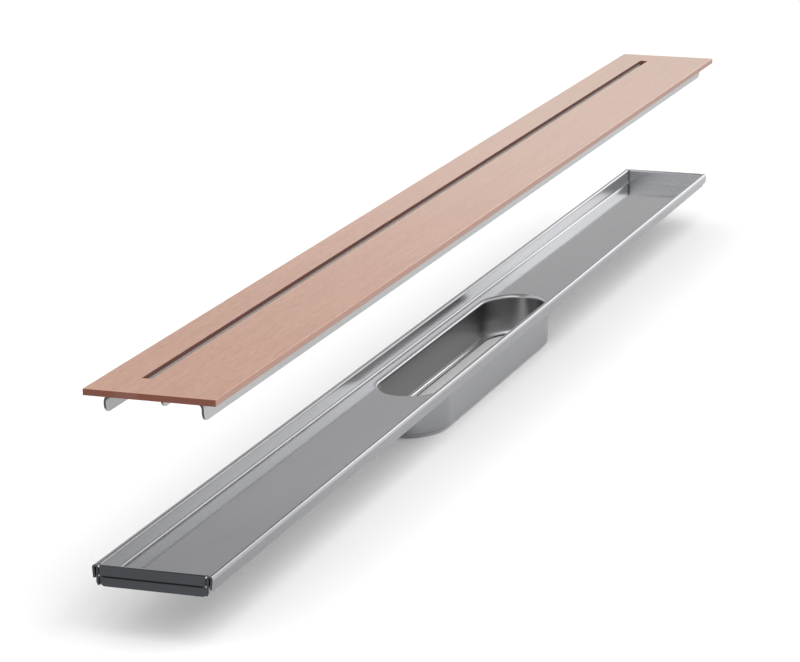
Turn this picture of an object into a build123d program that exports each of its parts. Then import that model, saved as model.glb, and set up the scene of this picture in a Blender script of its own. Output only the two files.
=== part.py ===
from build123d import *
from math import atan2, cos, degrees, sin
import os

# Linear shower drain: a folded tray with a drain cup, and its slotted cover lifted off above it.
# Millimetres, +Z up. X runs along the drain and Y across it.
# The origin is under the middle of the cup, on the surface that the drain stands on.

# Cover plate
cover_length = 900.0
cover_width = 60.0
cover_thickness = 3.0
cover_edge_radius = 0.3
cover_lift = 74.4  # from the tray's rims up to the underside of the plate

# Water slot through the plate and the carrier under it
slot_width = 4.8
slot_end_margin = 23.3  # solid plate left at each end
slot_offset = 10.4  # the slot lies this far to the +Y side of the middle

# Carrier, a folded channel under the plate
carrier_sheet = 1.0
carrier_width = 45.4
carrier_height = 8.6
carrier_setback = 5.0  # from the plate's ends
carrier_bend = 3.0  # radius of the sheet's middle
leg_corner_radius = 4.5

# Centre rib, an angle under the carrier's web
rib_sheet = 1.0
rib_height = 6.8  # from the plate's underside down to the rib's foot
rib_setback = 14.0  # from the plate's ends
rib_flange_width = 7.0
rib_bend = 1.2

# Tray, a channel with a rolled rim along both sides
tray_sheet = 1.0
tray_length = 900.0
tray_inner_width = 49.4
tray_depth = 8.8
tray_bend = 2.2
rim_reach = 1.95  # from the wall out to the rim's leaf, between the sheet's middles
rim_roll = 0.8  # radius of the two turns over the rim
rim_leaf_drop = 5.9
rim_leaf_tuck = 0.5  # how far the leaf's foot leans back to the wall

# End walls, each with a flat hem turned down outside
end_sheet = 1.0
end_hem = 0.62  # radius of the hem's turn, to the sheet's middle
end_leaf_drop = 5.2
end_side_gap = 0.4
end_corner_radius = 2.0

# Drain cup, with straight sides and long rounded ends
cup_sheet = 1.0
cup_inner_length = 233.0
cup_inner_width = 37.0
cup_end_length = 26.0  # from where a side begins to curve to the tip of the end
cup_nose_radius = 13.0  # inside, around the tip
cup_height = 22.1  # from its foot to the underside of the tray's floor
cup_lip_bend = 1.5
cup_lip_flat = 0.3
cup_foot_bend = 2.2
cup_foot_flange = 1.9  # from the cup's inner wall to the edge of its open foot

# Levels worked out from the sizes above
floor_under = cup_height
floor_top = floor_under + tray_sheet
rim_top = floor_top + tray_depth
bend_top = floor_under + tray_bend + tray_sheet / 2
plate_under = rim_top + cover_lift
plate_top = plate_under + cover_thickness
web_under = plate_under - carrier_sheet
leg_foot = plate_under - carrier_height
rib_foot = plate_under - rib_height

# Places worked out from the sizes above
slot_length = cover_length - 2 * slot_end_margin
hem_depth = 2 * end_hem + end_sheet
cup_wall_mid = (cup_inner_width + cup_sheet) / 2
cup_lip_reach = cup_sheet / 2 + cup_lip_bend + cup_lip_flat  # from the cup's inner wall

# The cup's ends: a nose arc at the tip that runs smoothly into a wide arc on both sides
cup_curve_start = cup_inner_length / 2 - cup_end_length
nose_centre = cup_inner_length / 2 - cup_nose_radius
nose_run = cup_end_length - cup_nose_radius
nose_rise = cup_inner_width / 2 - cup_nose_radius
shoulder_radius = nose_run ** 2 / (2 * nose_rise) + nose_rise / 2 + cup_nose_radius
shoulder_centre = cup_inner_width / 2 - shoulder_radius
shoulder_turn = atan2(nose_run, -shoulder_centre)


def folded_sheet(points, radii, sheet):
    """Flat section of a sheet whose middle follows the points, with a bend at each inner one."""
    middle = FilletPolyline(*points, radius=radii)
    return trace(middle, sheet)


def along_drain(section, length):
    """A section drawn across the drain, with Y to the right and Z up, run along X."""
    return extrude(Plane.YZ * section, amount=length / 2, both=True)


def four_quarters(quarter):
    """A quarter of the drain's middle, mirrored across and then along the drain."""
    half = quarter + mirror(quarter, about=Plane.XZ)
    return half + mirror(half, about=Plane.YZ)


def slot_tool():
    """The block that cuts the water slot through the plate and the carrier."""
    block = Box(slot_length, slot_width, plate_top - leg_foot)
    return Pos(0, slot_offset, (plate_top + leg_foot) / 2) * block


def cover_plate():
    """A flat plate with softened edges and the water slot."""
    plate = Box(cover_length, cover_width, cover_thickness)
    plate = Pos(0, 0, (plate_under + plate_top) / 2) * plate - slot_tool()
    return fillet(plate.faces().sort_by(Axis.Z)[-1].outer_wire().edges(), cover_edge_radius)


def rounded_side_view(length, low, high):
    """A block across the whole width whose lower end corners are round in the side view."""
    outline = Pos(0, (low + high) / 2) * Rectangle(length, high - low)
    outline = fillet(outline.vertices().group_by(Axis.Y)[0], leg_corner_radius)
    return extrude(Plane.XZ * outline, amount=cover_width / 2, both=True)


def cover_carrier():
    """An upside-down channel under the plate, with its web slotted like the plate."""
    leg = (carrier_width - carrier_sheet) / 2
    web = plate_under - carrier_sheet / 2
    points = [(-leg, leg_foot), (-leg, web), (leg, web), (leg, leg_foot)]
    section = folded_sheet(points, carrier_bend, carrier_sheet)
    length = cover_length - 2 * carrier_setback
    ends = rounded_side_view(length, leg_foot, plate_under)
    return (along_drain(section, length) & ends) - slot_tool()


def centre_rib():
    """An angle in the middle of the carrier, with its flange against the web."""
    flange = web_under - rib_sheet / 2
    points = [(rib_sheet / 2 - rib_flange_width, flange), (0, flange), (0, rib_foot)]
    section = folded_sheet(points, rib_bend, rib_sheet)
    length = cover_length - 2 * rib_setback
    ends = rounded_side_view(length, rib_foot, web_under)
    return along_drain(section, length) & ends


def tray_half_section(side):
    """Section of the tray from its middle line to the foot of one rim's leaf."""
    wall = (tray_inner_width + tray_sheet) / 2
    leaf = wall + rim_reach
    top = rim_top - tray_sheet / 2
    floor = floor_top - tray_sheet / 2
    points = [(side * (leaf - rim_leaf_tuck), rim_top - rim_leaf_drop), (side * leaf, top),
              (side * wall, top), (side * wall, floor), (0, floor)]
    return folded_sheet(points, [rim_roll, rim_roll, tray_bend], tray_sheet)


def cup_opening():
    """The block that cuts the opening for the cup's lip out of the tray's floor."""
    half_width = cup_inner_width / 2 + cup_lip_reach
    nose_radius = cup_nose_radius + cup_lip_reach
    shoulder = (nose_centre + nose_radius * sin(shoulder_turn), nose_radius * cos(shoulder_turn))
    tip = nose_centre + nose_radius
    side = Line((0, half_width), (cup_curve_start, half_width))
    curve = TangentArc((cup_curve_start, half_width), shoulder, tangent=(1, 0))
    nose = CenterArc((nose_centre, 0), nose_radius, 0, 90 - degrees(shoulder_turn))
    quarter = make_face([side, curve, nose, Line((tip, 0), (0, 0)), Line((0, 0), (0, half_width))])
    return extrude(four_quarters(quarter), amount=rim_top)


def tray_channel():
    """The folded channel with its rolled rims, the cup's opening and a floor cut back for the ends."""
    section = Sketch() + [tray_half_section(side) for side in (-1, 1)]
    channel = along_drain(section, tray_length) - cup_opening()
    for end in (-1, 1):
        notch = Box(hem_depth, tray_inner_width, bend_top)
        channel -= Pos(end * (tray_length - hem_depth) / 2, 0, bend_top / 2) * notch
    return channel


def end_wall(side):
    """A wall that closes the channel's end, with rounded lower corners and a hem turned outside."""
    leaf = tray_length / 2 - end_sheet / 2
    wall = leaf - 2 * end_hem
    turn = rim_top - end_sheet / 2 - end_hem
    upright = Line((wall, floor_under), (wall, turn))
    hem = ThreePointArc((wall, turn), (wall + end_hem, turn + end_hem), (leaf, turn))
    down = Line((leaf, turn), (leaf, rim_top - end_leaf_drop))
    section = trace([upright, hem, down], end_sheet)
    width = tray_inner_width - 2 * end_side_gap
    sheet = extrude(Plane.XZ * section, amount=width / 2, both=True)
    outline = Pos(0, (floor_under + rim_top) / 2) * Rectangle(width, rim_top - floor_under)
    outline = fillet(outline.vertices().group_by(Axis.Y)[0], end_corner_radius)
    piece = sheet & along_drain(outline, 2 * tray_length)
    return piece if side > 0 else mirror(piece, about=Plane.YZ)


def drain_cup():
    """A drawn cup whose flared lip lies in the floor's opening, with an open, flanged foot."""
    foot = cup_sheet / 2
    lip = floor_top - cup_sheet / 2
    foot_edge = cup_inner_width / 2 - cup_foot_flange
    lip_edge = cup_inner_width / 2 + cup_lip_reach
    points = [(foot_edge, foot), (cup_wall_mid, foot), (cup_wall_mid, lip), (lip_edge, lip)]
    section = Plane.YZ * folded_sheet(points, [cup_foot_bend, cup_lip_bend], cup_sheet)
    side = extrude(section, amount=cup_curve_start)
    start = Pos(cup_curve_start, 0, 0) * section
    shoulder_axis = Axis((cup_curve_start, shoulder_centre, 0), (0, 0, 1))
    shoulder = revolve(start, shoulder_axis, -degrees(shoulder_turn))
    turned = start.rotate(shoulder_axis, -degrees(shoulder_turn))
    nose = revolve(turned, Axis((nose_centre, 0, 0), (0, 0, 1)), degrees(shoulder_turn) - 90)
    return four_quarters(side + shoulder + nose)


os.makedirs("parts", exist_ok=True)
export_step(cover_plate(), "parts/cover_plate.step")
export_step(cover_carrier(), "parts/cover_carrier.step")
export_step(centre_rib(), "parts/centre_rib.step")
export_step(tray_channel(), "parts/tray_channel.step")
export_step(end_wall(-1), "parts/end_wall_near.step")
export_step(end_wall(1), "parts/end_wall_far.step")
export_step(drain_cup(), "parts/drain_cup.step")
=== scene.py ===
import math

import bpy
from bpy.props import FloatProperty, FloatVectorProperty, PointerProperty
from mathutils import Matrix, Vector


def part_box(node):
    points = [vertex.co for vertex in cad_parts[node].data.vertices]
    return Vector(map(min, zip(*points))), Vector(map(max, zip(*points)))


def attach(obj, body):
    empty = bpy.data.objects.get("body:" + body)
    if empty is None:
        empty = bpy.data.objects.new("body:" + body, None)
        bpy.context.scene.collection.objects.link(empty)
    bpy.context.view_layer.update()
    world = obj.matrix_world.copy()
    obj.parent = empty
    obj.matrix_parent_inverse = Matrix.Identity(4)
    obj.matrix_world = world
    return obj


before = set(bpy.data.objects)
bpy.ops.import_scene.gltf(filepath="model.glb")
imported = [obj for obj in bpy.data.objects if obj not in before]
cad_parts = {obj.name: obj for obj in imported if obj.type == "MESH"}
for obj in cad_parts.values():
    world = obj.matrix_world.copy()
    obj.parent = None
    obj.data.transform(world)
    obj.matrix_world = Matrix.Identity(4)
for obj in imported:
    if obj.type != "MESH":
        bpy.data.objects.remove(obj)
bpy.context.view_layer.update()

bl_info = {
    "name": "Linear shower drain",
    "version": (1, 0, 0),
    "blender": (4, 5, 0),
    "location": "3D View > Sidebar > Drain",
    "description": "Metal finishes, welds and studio for a linear shower drain",
    "category": "Object",
}

MILLIMETRE = 0.001

# Round patches of the studio's room: the direction of a patch's middle, and the angles from it,
# in degrees, at which the patch ends and at which it is full
WINDOW = (0.95, -0.20, 0.25)
WINDOW_ANGLES = (17, 3)
SCREEN = (0.90, 0.34, 0.27)
SCREEN_ANGLES = (30, 12)
FRONT = (-0.92, -0.20, 0.22)
FRONT_ANGLES = (55, 20)

SOFTBOX_PLACE = (-0.3, -0.6, 1.6)
SOFTBOX_TARGET = (0.0, 0.0, 0.05)
SENSOR_WIDTH = 36.0  # millimetres
FLOOR_GAP = 0.1 * MILLIMETRE  # from the drain's foot down to the studio's floor
FLOOR_SHINE = 0.1
FLOOR_ROUGHNESS = 0.9
BLACK = (0.0, 0.0, 0.0)

# Sizes of the patterns along X, Y and Z, in metres
BROAD_GRAIN = (0.06, 0.003, 0.003)
SHEET_CLOUD = (0.16, 0.05, 0.05)
CUP_STREAK = (0.03, 0.03, 0.0006)
END_STREAK = (0.0006, 0.02, 0.0006)
WELD_RIPPLE = (0.0006, 0.0006, 0.0006)

DROP_SPACING = 1.2  # from one drop of weld metal to the next, in radii of a drop
WELD_PLACE = 0.2 * MILLIMETRE  # from an end wall's side out to the middle of the weld
TACK_DROPS = (0.8 * MILLIMETRE, 4.8 * MILLIMETRE)  # from the rim's top down to each tack


def colour_property(name, description, default):
    """A colour that a user can change."""
    return FloatVectorProperty(name=name, description=description, default=default,
                               subtype="COLOR", size=3, min=0.0, max=1.0)


def length_property(name, description, default):
    """A length in metres."""
    return FloatProperty(name=name, description=description, default=default,
                         unit="LENGTH", subtype="DISTANCE", precision=5)


def share_property(name, description, default):
    """A number between 0 and 1."""
    return FloatProperty(name=name, description=description, default=default,
                         subtype="FACTOR", min=0.0, max=1.0)


class CoverLook(bpy.types.PropertyGroup):
    """Colours and grain of the copper-coloured cover plate."""

    light: colour_property("Light grain", "Coat where the brushing catches the light",
                           (0.66, 0.40, 0.30))
    dark: colour_property("Dark grain", "Coat in the brushed furrows", (0.54, 0.31, 0.23))
    # Painted light: the pale coat makes the plate lighter towards its far end, standing in for the
    # light it catches there
    pale: colour_property("Pale coat", "Coat towards the far end, where it is paler",
                          (0.79, 0.575, 0.485))
    # Painted shade: the long sides are a darker, shaded copy of the coat
    side: colour_property("Long sides", "Coat on the plate's long sides", (0.37, 0.205, 0.155))
    # Painted shade on the plate's sawn ends
    cut: colour_property("Cut ends", "Plate's sawn ends", (0.165, 0.058, 0.038))
    # Painted shade inside the water slot
    slot: colour_property("Slot walls", "Coat inside the water slot", (0.13, 0.04, 0.03))
    bare: colour_property("Bare steel", "Steel below the coat in the water slot",
                          (0.42, 0.36, 0.32))
    roughness: share_property("Roughness", "Mean roughness of the brushed face", 0.42)
    metal: share_property("Metal", "How metallic the coat is", 0.6)
    grain_length: length_property("Grain length", "Length of a brushed streak", 0.007)
    grain_width: length_property("Grain width", "Width of a brushed streak", 0.00035)
    slot_offset: length_property("Slot offset", "Middle of the slot from the plate's middle",
                                 0.0104)
    bare_height: length_property("Bare height", "Uncoated strip at the foot of the slot's walls",
                                 0.0010)


class SteelLook(bpy.types.PropertyGroup):
    """Colours and gloss of the steel sheets."""

    sheet: colour_property("Sheet", "Rolled stainless sheet", (0.47, 0.475, 0.49))
    # Painted shade: the outside of the rims and the cup is painted darker, for the shaded floor it
    # faces
    outer: colour_property("Outside", "Duller outside of the rims and the cup",
                           (0.28, 0.284, 0.298))
    # Painted shade inside the cup and on the welds in the tray's inner corners
    inner: colour_property("Cup inside", "Duller steel inside the drawn cup",
                           (0.225, 0.225, 0.23))
    # Painted highlight on the bend at the cup's foot
    foot: colour_property("Cup foot", "Bright bend at the cup's foot", (0.75, 0.75, 0.76))
    carrier: colour_property("Carrier", "Sheet of the carrier and its rib",
                             (0.38, 0.385, 0.39))
    shaded: colour_property("End walls", "Darker outside of the end walls",
                            (0.058, 0.061, 0.068))
    # Painted shade on the sheared edges, which stand in shadow
    cut: colour_property("Cut edges", "Sheared edges of the sheet", (0.07, 0.071, 0.075))
    # Painted shadow: the dark line along the shut seam under each end wall's hem, where the hem's
    # leaf shades the wall
    seam: colour_property("Seam", "Shut joint under a hem", (0.012, 0.012, 0.014))
    # Partly painted highlight: the tacks are real weld metal, coloured brighter than the sheet to
    # paint the glints on them
    weld: colour_property("Weld", "Bright weld tacks", (0.85, 0.85, 0.86))
    roughness: share_property("Roughness", "Mean roughness of the flat sheet", 0.09)
    bend_roughness: share_property("Bend roughness", "Mean roughness of walls and bends", 0.28)
    weld_radius: length_property("Weld radius", "Radius of one drop of weld metal", 0.0005)
    sheet_thickness: length_property("Sheet thickness", "Thickness of the tray's sheet", 0.001)
    hem_drop: length_property("Hem drop", "From the end walls' tops to their hems' feet", 0.0052)
    grain_length: length_property("Grain length", "Length of a rolling streak", 0.03)
    grain_width: length_property("Grain width", "Width of a rolling streak", 0.0006)


class StageLook(bpy.types.PropertyGroup):
    """Floor, softbox, room and camera of the studio."""

    floor: colour_property("Floor", "Pale studio floor", (0.97, 0.97, 0.97))
    floor_size: length_property("Floor size", "Side of the square floor", 14.0)
    room: share_property("Room", "Brightness of the studio all round", 0.95)
    screen: share_property("Screen", "Brightness that the dark screen takes away", 0.38)
    window: FloatProperty(name="Window", description="Brightness that the window adds",
                          default=1.45, min=0.0)
    fill: FloatProperty(name="Front fill", description="Brightness that the front screen adds",
                        default=0.42, min=0.0)
    lamp_power: FloatProperty(name="Softbox power", description="Power of the overhead softbox",
                              default=10.0, unit="POWER", min=0.0)
    lamp_size: length_property("Softbox size", "Side of the overhead softbox", 1.6)
    camera_place: FloatVectorProperty(name="Camera", description="Place of the camera",
                                      default=(-1.7265, -0.5321, 0.4824), subtype="TRANSLATION")
    camera_turn: FloatVectorProperty(name="Camera turn", description="Turn of the camera",
                                     default=(math.radians(75.918), 0.0, math.radians(-71.729)),
                                     subtype="EULER")
    lens: FloatProperty(name="Lens", description="Focal length for a 36 mm wide sensor",
                        default=153.75, min=1.0)


class DrainLook(bpy.types.PropertyGroup):
    """Everything that can be changed on the drain's look."""

    cover: PointerProperty(type=CoverLook)
    steel: PointerProperty(type=SteelLook)
    stage: PointerProperty(type=StageLook)


class Value:
    """A socket of a node tree. Arithmetic on it adds the Math node that works it out."""

    def __init__(self, nodes, socket):
        self.nodes = nodes
        self.socket = socket

    def math(self, operation, *operands):
        """The result of one Math node."""
        sockets = dict(enumerate(operands))
        return self.nodes.node("ShaderNodeMath", {"operation": operation}, sockets)

    def __add__(self, other):
        return self.math("ADD", self, other)

    __radd__ = __add__

    def __sub__(self, other):
        return self.math("SUBTRACT", self, other)

    def __rsub__(self, other):
        return self.math("SUBTRACT", other, self)

    def __mul__(self, other):
        return self.math("MULTIPLY", self, other)

    __rmul__ = __mul__

    def size(self):
        """The number without its sign."""
        return self.math("ABSOLUTE", self)


class Nodes:
    """Adds nodes to the tree of a material or of the world."""

    def __init__(self, tree):
        self.tree = tree

    def node(self, kind, settings=None, sockets=None, output=0):
        """A node of that type, with its settings made first and then its sockets."""
        node = self.tree.nodes.new(kind)
        for name, value in (settings or {}).items():
            setattr(node, name, value)
        for key, value in (sockets or {}).items():
            self.feed(node.inputs[key], value)
        return Value(self, node.outputs[output])

    def feed(self, socket, value):
        """Links a value to a socket, or sets a plain number or colour on it."""
        if isinstance(value, Value):
            self.tree.links.new(value.socket, socket)
        else:
            socket.default_value = value

    def mix(self, share, first, second):
        """A colour between two others."""
        sockets = {0: share, 6: opaque(first), 7: opaque(second)}
        return self.node("ShaderNodeMix", {"data_type": "RGBA"}, sockets, output=2)

    def ease(self, value, start, end):
        """0 up to the start, 1 from the end on, and a smooth rise between them."""
        return self.node("ShaderNodeMapRange", {"interpolation_type": "SMOOTHSTEP"},
                         {"Value": value, "From Min": start, "From Max": end})


def opaque(colour):
    """A colour with its alpha, or a link as it is."""
    return colour if isinstance(colour, Value) else (*colour, 1.0)


class Finish(Nodes):
    """A finish, metal at first, whose pattern follows the piece's own coordinates."""

    def __init__(self, name):
        self.material = bpy.data.materials.new(name)
        self.material.use_nodes = True
        super().__init__(self.material.node_tree)
        self.shader = self.tree.nodes["Principled BSDF"]
        self.shader.inputs["Metallic"].default_value = 1.0
        self.place = self.node("ShaderNodeTexCoord", output="Object")
        self.facing = self.node("ShaderNodeTexCoord", output="Normal")

    def axis(self, letter):
        """One coordinate, in metres."""
        return self.node("ShaderNodeSeparateXYZ", {}, {0: self.place}, output=letter)

    def faces(self, letter):
        """How far the surface faces along an axis, from -1 to 1."""
        return self.node("ShaderNodeSeparateXYZ", {}, {0: self.facing}, output=letter)

    def noise(self, cell, detail=3.0, seed=0.0):
        """Noise between 0 and 1 whose cells have that size, in metres, along each axis."""
        scale = tuple(1.0 / side for side in cell)
        shift = (seed, seed * 0.7, seed * 1.3)
        stretched = self.node("ShaderNodeMapping", {},
                              {"Vector": self.place, "Scale": scale, "Location": shift})
        return self.node("ShaderNodeTexNoise", {},
                         {"Vector": stretched, "Scale": 1.0, "Detail": detail})

    def bump(self, height, depth, strength):
        """Gives the surface relief of that depth, in metres."""
        relief = self.node("ShaderNodeBump", {},
                           {"Height": height, "Distance": depth, "Strength": strength})
        self.feed(self.shader.inputs["Normal"], relief)

    def finish(self, colour, roughness):
        """Feeds the shader and returns the material."""
        self.feed(self.shader.inputs["Base Color"], colour)
        self.feed(self.shader.inputs["Roughness"], roughness)
        return self.material


def streak_cell(look):
    """Size of a streak that runs along the drain."""
    return (look.grain_length, look.grain_width, look.grain_width)


def scaled(colour, share):
    """A colour at that share of its brightness."""
    return [share * channel for channel in colour]


def blend(first, second, share):
    """Two noises in one, with that share of the second."""
    return first * (1 - share) + second * share


def varied(mean, spread, noise):
    """A roughness that follows the noise, by half the spread to both sides of its mean."""
    return mean - spread / 2 + spread * noise


def brushed_copper(look):
    """Copper-coloured plate brushed along its length, painted lighter towards its far end, with
    painted shade on its sides, ends and slot walls.
    """
    low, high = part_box("cover_plate")
    coat = Finish("brushed_copper")
    streaks = coat.noise(streak_cell(look), detail=4.0)
    broad = coat.noise(BROAD_GRAIN, seed=3.0)
    grain = coat.ease(blend(streaks, broad, share=0.25), start=0.36, end=0.64)
    near_coat = coat.mix(grain, look.dark, look.light)
    # Painted light: a lighter copy of the coat, blended in towards the far end
    far_lit_coat = coat.mix(grain, scaled(look.pale, share=0.9), look.pale)
    far_end_light = coat.ease(coat.axis("X"), start=1.1 * low[0], end=0.6 * high[0])
    brushed = coat.mix(far_end_light, near_coat, far_lit_coat)
    on_top = coat.ease(coat.faces("Z"), start=0.3, end=0.7)
    on_end = coat.ease(coat.faces("X").size(), start=0.5, end=0.8)
    from_slot = (coat.axis("Y") - look.slot_offset).size()
    in_slot = 1.0 - coat.ease(from_slot, start=4.0 * MILLIMETRE, end=6.0 * MILLIMETRE)
    bare_top = low[2] + look.bare_height
    blur = 0.1 * MILLIMETRE
    bare = 1.0 - coat.ease(coat.axis("Z"), start=bare_top - blur, end=bare_top + blur)
    # Painted shade on the slot walls, the long sides and the sawn ends
    wall = coat.mix(bare, look.slot, look.bare)
    shaded_edge = coat.mix(on_end, coat.mix(in_slot, look.side, wall), look.cut)
    coat.bump(streaks, depth=0.03 * MILLIMETRE, strength=0.8)
    slot_wall = (1.0 - on_top) * in_slot
    coat.feed(coat.shader.inputs["Metallic"], look.metal - look.metal * slot_wall)
    slot_dullness = 0.3
    roughness = varied(look.roughness, spread=0.1, noise=streaks) + slot_dullness * slot_wall
    return coat.finish(coat.mix(on_top, shaded_edge, brushed), roughness)


def rolled_steel(name, look, sheet, seed=0.0):
    """Satin stainless sheet with fine rolling streaks, faint duller clouds and painted shade on its
    sheared ends.
    """
    steel = Finish(name)
    streaks = steel.noise(streak_cell(look), detail=3.0, seed=seed)
    cloud = steel.noise(SHEET_CLOUD, seed=seed + 5.0)
    bright = steel.ease(blend(cloud, streaks, share=0.3), start=0.35, end=0.65)
    tone = steel.mix(bright, scaled(sheet, share=0.9), sheet)
    on_end = steel.ease(steel.faces("X").size(), start=0.7, end=0.9)
    steel.bump(streaks, depth=0.004 * MILLIMETRE, strength=0.4)
    # Painted shade: the sheared ends take the dark edge colour
    return steel, steel.mix(on_end, tone, look.cut), streaks


def tray_steel(look):
    """Steel of the tray: smooth floor, satin walls, and painted shade on its sides outside and
    towards its near end.
    """
    low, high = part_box("tray_channel")
    steel, tone, streaks = rolled_steel("tray_steel", look, look.sheet)
    outward = steel.axis("Y") * steel.faces("Y")
    outside = steel.ease(outward, start=4.0 * MILLIMETRE, end=20.0 * MILLIMETRE)
    bend_foot = high[2] - 2.2 * MILLIMETRE
    bend_top = high[2] - 1.6 * MILLIMETRE
    below_rim = 1.0 - steel.ease(steel.axis("Z"), start=bend_foot, end=bend_top)
    # Painted shade on the tray's sides outside
    tone = steel.mix(outside * below_rim, tone, look.outer)
    # Painted shade: the tray is darkened towards its near end
    near = 1.0 - steel.ease(steel.axis("X"), start=low[0], end=0.45 * low[0])
    near_end_shade = 0.2
    tone = steel.mix(near * near_end_shade, tone, BLACK)
    flat = steel.ease(steel.faces("Z"), start=0.96, end=0.995)
    roughness = look.bend_roughness + (look.roughness - look.bend_roughness) * flat
    return steel.finish(tone, varied(roughness, spread=0.04, noise=streaks))


def carrier_steel(look):
    """Steel of the carrier and its rib, shaded between the legs."""
    steel, tone, streaks = rolled_steel("carrier_steel", look, look.carrier, seed=2.0)
    inward = -1.0 * steel.axis("Y") * steel.faces("Y")
    between = steel.ease(inward, start=4.0 * MILLIMETRE, end=20.0 * MILLIMETRE)
    tone = steel.mix(between, tone, scaled(look.carrier, share=0.8))
    return steel.finish(tone, varied(look.bend_roughness, spread=0.06, noise=streaks))


def drawn_steel(look):
    """Steel of the cup: painted shade inside and outside, lighter at the drawn ends inside, a
    painted highlight at its foot and the sheet's brighter tone on its lip.
    """
    steel = Finish("cup_steel")
    streaks = steel.noise(CUP_STREAK, detail=2.0, seed=9.0)
    outward = steel.axis("X") * steel.faces("X") + steel.axis("Y") * steel.faces("Y")
    height = steel.axis("Z")
    upright = 1.0 - steel.ease(steel.faces("Z").size(), start=0.25, end=0.6)
    inside = steel.ease(outward, start=-1.0 * MILLIMETRE, end=-4.0 * MILLIMETRE)
    outside = steel.ease(outward, start=1.0 * MILLIMETRE, end=4.0 * MILLIMETRE)
    in_end = steel.ease(steel.axis("X").size(), start=85.0 * MILLIMETRE, end=112.0 * MILLIMETRE)
    # Painted shade inside the cup, lighter at its drawn ends
    lighter_end_shade = scaled(look.inner, share=1.8)
    in_foot_highlight = 1.0 - steel.ease(height, start=2.2 * MILLIMETRE, end=3.2 * MILLIMETRE)
    in_flange_shade = 1.0 - steel.ease(height, start=0.8 * MILLIMETRE, end=0.95 * MILLIMETRE)
    # Painted shade on the cup's outside
    tone = steel.mix(outside * upright, look.sheet, look.outer)
    tone = steel.mix(inside * upright, tone, steel.mix(in_end, look.inner, lighter_end_shade))
    # Painted highlight on the cup's foot
    tone = steel.mix(in_foot_highlight * (1.0 - outside), tone, look.foot)
    # Painted shade: a dark line at the inner edge of the cup's flange
    tone = steel.mix(inside * in_flange_shade, tone, look.cut)
    return steel.finish(tone, varied(look.bend_roughness, spread=0.02, noise=streaks))


def end_steel(look, side):
    """Steel of an end wall, with painted shade outside and a painted shadow line along the shut
    seam at its hem's foot.
    """
    name = "near" if side < 0 else "far"
    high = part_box("end_wall_" + name)[1]
    steel = Finish("end_steel_" + name)
    streaks = steel.noise(END_STREAK, detail=3.0, seed=7.0)
    outside = steel.ease(side * steel.faces("X"), start=0.0, end=0.5)
    height = steel.axis("Z")
    hem_shadow_foot = high[2] - look.hem_drop - 0.6 * MILLIMETRE
    hem_shadow_top = high[2] - look.hem_drop + 0.45 * MILLIMETRE
    hem_shadow_end = high[1] - 1.4 * MILLIMETRE
    blur = 0.2 * MILLIMETRE
    above = steel.ease(height, start=hem_shadow_foot - blur, end=hem_shadow_foot)
    below = 1.0 - steel.ease(height, start=hem_shadow_top, end=hem_shadow_top + blur)
    within = 1.0 - steel.ease(steel.axis("Y").size(), start=hem_shadow_end, end=hem_shadow_end + 3 * blur)
    tone = steel.mix(outside, look.sheet, look.shaded)
    # Painted shadow line at the hem's foot
    tone = steel.mix(outside * below * above * within, tone, look.seam)
    return steel.finish(tone, varied(look.bend_roughness, spread=0.06, noise=streaks))


def dress(node, material):
    """Gives a CAD node its finish."""
    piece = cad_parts[node]
    for place in piece.material_slots:
        place.material = material


def weld_bead(name, middles, radius, material):
    """Small overlapping drops of weld metal laid one after the other, as one piece."""
    bpy.ops.object.select_all(action="DESELECT")
    bpy.ops.mesh.primitive_uv_sphere_add(segments=12, ring_count=8, radius=radius,
                                         location=middles[0])
    piece = bpy.context.object
    piece.name = name
    bpy.ops.object.mode_set(mode="EDIT")
    for middle in middles[1:]:
        bpy.ops.mesh.primitive_uv_sphere_add(segments=12, ring_count=8, radius=radius,
                                             location=middle)
    bpy.ops.object.mode_set(mode="OBJECT")
    bpy.ops.object.shade_smooth()
    bpy.ops.object.transform_apply(location=True, rotation=False, scale=False)
    piece.data.materials.append(material)
    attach(piece, "root")


def weld_metal(name, colour, roughness):
    """Rippled weld metal."""
    weld = Finish(name)
    ripple = weld.noise(WELD_RIPPLE, detail=2.0, seed=4.0)
    tone = weld.mix(ripple, scaled(colour, share=0.7), colour)
    return weld.finish(tone, varied(roughness, spread=0.1, noise=ripple))


def place_lamp(name, where, target, size, power):
    """A square softbox aimed at a point."""
    lamp = bpy.data.lights.new(name, "AREA")
    lamp.shape = "SQUARE"
    lamp.size = size
    lamp.energy = power
    box = bpy.data.objects.new(name, lamp)
    box.location = where
    box.rotation_euler = (Vector(target) - Vector(where)).to_track_quat("-Z", "Y").to_euler()
    bpy.context.scene.collection.objects.link(box)


class DRAIN_OT_cover(bpy.types.Operator):
    """Gives the cover plate its brushed copper coat"""

    bl_idname = "drain.cover"
    bl_label = "Cover plate"

    def execute(self, context):
        dress("cover_plate", brushed_copper(context.scene.drain_look.cover))
        return {"FINISHED"}


class DRAIN_OT_carrier(bpy.types.Operator):
    """Gives the carrier and its rib their bright sheet steel"""

    bl_idname = "drain.carrier"
    bl_label = "Cover carrier"

    def execute(self, context):
        steel = carrier_steel(context.scene.drain_look.steel)
        dress("cover_carrier", steel)
        dress("centre_rib", steel)
        return {"FINISHED"}


class DRAIN_OT_tray(bpy.types.Operator):
    """Gives the tray and its end walls their rolled steel"""

    bl_idname = "drain.tray"
    bl_label = "Tray"

    def execute(self, context):
        look = context.scene.drain_look.steel
        dress("tray_channel", tray_steel(look))
        dress("end_wall_near", end_steel(look, -1))
        dress("end_wall_far", end_steel(look, 1))
        return {"FINISHED"}


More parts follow.
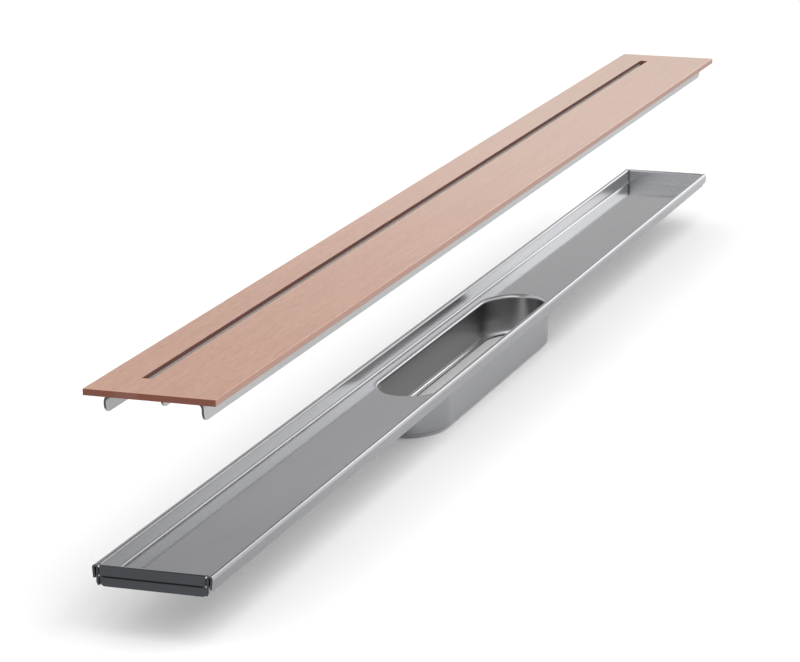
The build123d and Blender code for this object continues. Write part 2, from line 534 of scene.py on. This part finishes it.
class DRAIN_OT_welds(bpy.types.Operator):
    """Lays the weld beads in the tray's corners and the tacks beside its end walls"""

    bl_idname = "drain.welds"
    bl_label = "Corner welds"

    def execute(self, context):
        look = context.scene.drain_look.steel
        # Painted shade: the welds in the inner corners take the cup's shaded inside colour
        corner_shade_weld = weld_metal("weld_inside", look.inner, roughness=0.45)
        # Partly painted highlight: real tacks in a colour brighter than the sheet
        bright = weld_metal("weld_outside", look.weld, roughness=0.35)
        low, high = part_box("tray_channel")
        wall_low, wall_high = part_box("end_wall_far")
        inner_face = wall_low[0]
        outer_face = high[0] - look.weld_radius
        beside = wall_high[1] + WELD_PLACE
        floor = low[2] + look.sheet_thickness
        drops = int((high[2] - floor) / (DROP_SPACING * look.weld_radius))
        rise = [floor + look.weld_radius * (1 + DROP_SPACING * drop) for drop in range(drops)]
        for end, end_name in ((-1, "near"), (1, "far")):
            for side, side_name in ((-1, "right"), (1, "left")):
                corner = "_" + end_name + "_" + side_name
                seam = [(end * inner_face, side * beside, height) for height in rise]
                tacks = [(end * outer_face, side * beside, high[2] - drop) for drop in TACK_DROPS]
                weld_bead("corner_weld" + corner, seam, look.weld_radius, corner_shade_weld)
                weld_bead("corner_tack" + corner, tacks, look.weld_radius, bright)
        return {"FINISHED"}


class DRAIN_OT_cup(bpy.types.Operator):
    """Gives the drain cup its drawn steel"""

    bl_idname = "drain.cup"
    bl_label = "Drain cup"

    def execute(self, context):
        dress("drain_cup", drawn_steel(context.scene.drain_look.steel))
        return {"FINISHED"}


class DRAIN_OT_stage(bpy.types.Operator):
    """Lays the floor, lights the room and places the camera"""

    bl_idname = "drain.stage"
    bl_label = "Studio"

    def execute(self, context):
        look = context.scene.drain_look.stage
        self.lay_floor(look)
        self.light(look)
        self.place_camera(context, look)
        context.scene.view_settings.view_transform = "Standard"
        return {"FINISHED"}

    def lay_floor(self, look):
        """A plain pale floor just under the drain."""
        bpy.ops.object.select_all(action="DESELECT")
        bpy.ops.mesh.primitive_plane_add(size=look.floor_size, location=(0, 0, -FLOOR_GAP))
        floor = bpy.context.object
        floor.name = "studio_floor"
        paint = Finish("floor_paint")
        paint.shader.inputs["Metallic"].default_value = 0.0
        paint.shader.inputs["Specular IOR Level"].default_value = FLOOR_SHINE
        floor.data.materials.append(paint.finish(opaque(look.floor), FLOOR_ROUGHNESS))

    def light(self, look):
        """A pale room with a window and a dark screen behind, a pale one in front and a softbox."""
        world = bpy.data.worlds.new("studio")
        bpy.context.scene.world = world
        world.use_nodes = True
        room = Nodes(world.node_tree)
        direction = room.node("ShaderNodeTexCoord", output="Generated")
        screen = self.patch(room, direction, SCREEN, SCREEN_ANGLES) * look.screen
        window = self.patch(room, direction, WINDOW, WINDOW_ANGLES) * look.window
        fill = self.patch(room, direction, FRONT, FRONT_ANGLES) * look.fill
        level = look.room - screen + window + fill
        room.feed(world.node_tree.nodes["Background"].inputs["Color"], level)
        place_lamp("softbox", SOFTBOX_PLACE, SOFTBOX_TARGET, look.lamp_size, look.lamp_power)

    def patch(self, room, direction, towards, angles):
        """A round patch of the room that fades in between two angles from its middle."""
        middle = Vector(towards).normalized()
        ends, full = [math.cos(math.radians(angle)) for angle in angles]
        along = [room.node("ShaderNodeSeparateXYZ", {}, {0: direction}, output=letter) * share
                 for letter, share in zip("XYZ", middle)]
        nearness = along[0] + along[1] + along[2]
        return room.ease(nearness, start=ends, end=full)

    def place_camera(self, context, look):
        """The photograph's own viewing angle."""
        camera = bpy.data.cameras.new("camera")
        camera.lens = look.lens
        camera.sensor_width = SENSOR_WIDTH
        holder = bpy.data.objects.new("camera", camera)
        holder.location = look.camera_place
        holder.rotation_euler = look.camera_turn
        context.scene.collection.objects.link(holder)
        context.scene.camera = holder


OPERATORS = (DRAIN_OT_cover, DRAIN_OT_carrier, DRAIN_OT_tray, DRAIN_OT_welds, DRAIN_OT_cup,
             DRAIN_OT_stage)


class DRAIN_PT_sidebar(bpy.types.Panel):
    """Lists the steps that dress the drain"""

    bl_idname = "DRAIN_PT_sidebar"
    bl_label = "Linear shower drain"
    bl_space_type = "VIEW_3D"
    bl_region_type = "UI"
    bl_category = "Drain"

    def draw(self, context):
        for operator in OPERATORS:
            self.layout.operator(operator.bl_idname)


CLASSES = (CoverLook, SteelLook, StageLook, DrainLook, *OPERATORS, DRAIN_PT_sidebar)


def register():
    for kind in CLASSES:
        bpy.utils.register_class(kind)
    bpy.types.Scene.drain_look = PointerProperty(type=DrainLook)


def unregister():
    del bpy.types.Scene.drain_look
    for kind in reversed(CLASSES):
        bpy.utils.unregister_class(kind)


def main():
    register()
    bpy.ops.drain.cover()
    bpy.ops.drain.carrier()
    bpy.ops.drain.tray()
    bpy.ops.drain.welds()
    bpy.ops.drain.cup()
    bpy.ops.drain.stage()


if __name__ == "__main__":
    main()
